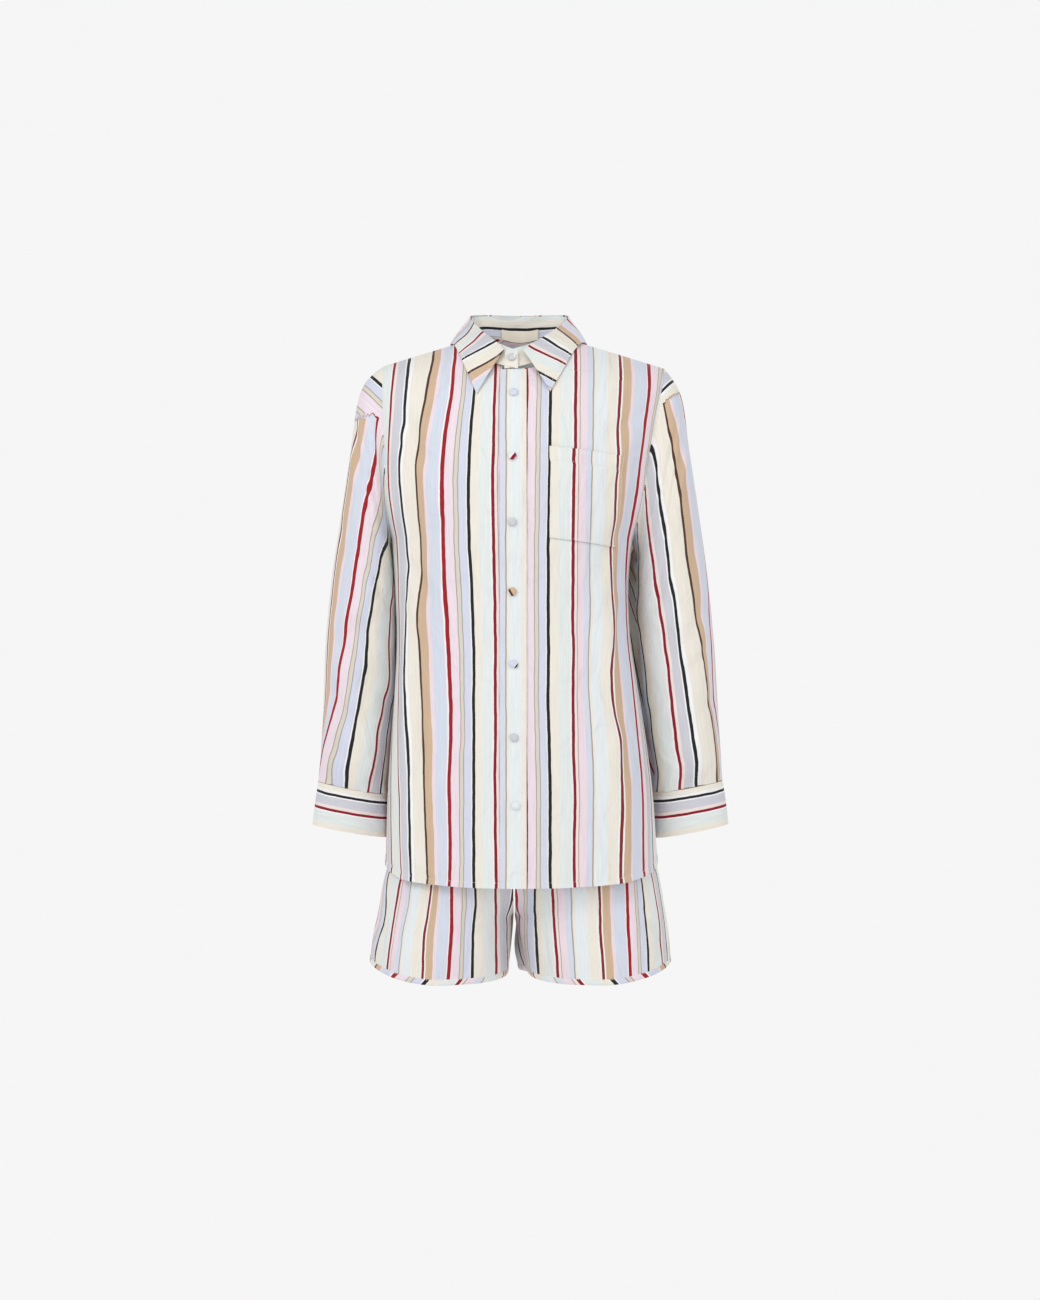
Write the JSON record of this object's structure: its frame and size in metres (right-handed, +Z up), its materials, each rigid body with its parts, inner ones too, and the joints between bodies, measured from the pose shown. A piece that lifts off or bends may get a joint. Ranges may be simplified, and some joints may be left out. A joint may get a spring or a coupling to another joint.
{
  "type": "pyjama set",
  "caption": "Striped cotton long-sleeved button-front pyjama shirt with collar, chest pocket and cuffs, worn over short shorts, hollow as worn.",
  "frame": {"origin": "between the shoulders, where the wearer carries the shirt: on the middle plane and level with the neck points of the shoulder seams", "axes": "+Z up, the front faces -Y, +X is the wearer's left"},
  "size_m": [0.5696, 0.2784, 0.9024],
  "materials": {
    "striped_poplin": "woven multi-stripe cotton poplin, matt with a faint sheen",
    "satin_label": "plain cream woven label, left blank",
    "covered_button": "small domed buttons covered in the striped poplin"
  },
  "bodies": {
    "root": {"shirt_front_right": "striped_poplin", "shirt_front_left": "striped_poplin", "shirt_back": "striped_poplin", "shirt_yoke": "striped_poplin", "shirt_sleeve_right": "striped_poplin", "shirt_sleeve_left": "striped_poplin", "shirt_cuff_right": "striped_poplin", "shirt_cuff_left": "striped_poplin", "shirt_placket": "striped_poplin", "shirt_pocket": "striped_poplin", "collar_stand": "striped_poplin", "collar_fall": "striped_poplin", "neck_label": "satin_label", "button_1": "covered_button", "button_2": "covered_button", "button_3": "covered_button", "button_4": "covered_button", "button_5": "covered_button", "button_6": "covered_button", "button_7": "covered_button", "button_collar": "covered_button", "shorts_front_right": "striped_poplin", "shorts_back_right": "striped_poplin", "shorts_front_left": "striped_poplin", "shorts_back_left": "striped_poplin", "hem_binding_right": "striped_poplin", "hem_binding_left": "striped_poplin", "shorts_waistband": "striped_poplin"}
  },
  "joints": []
}
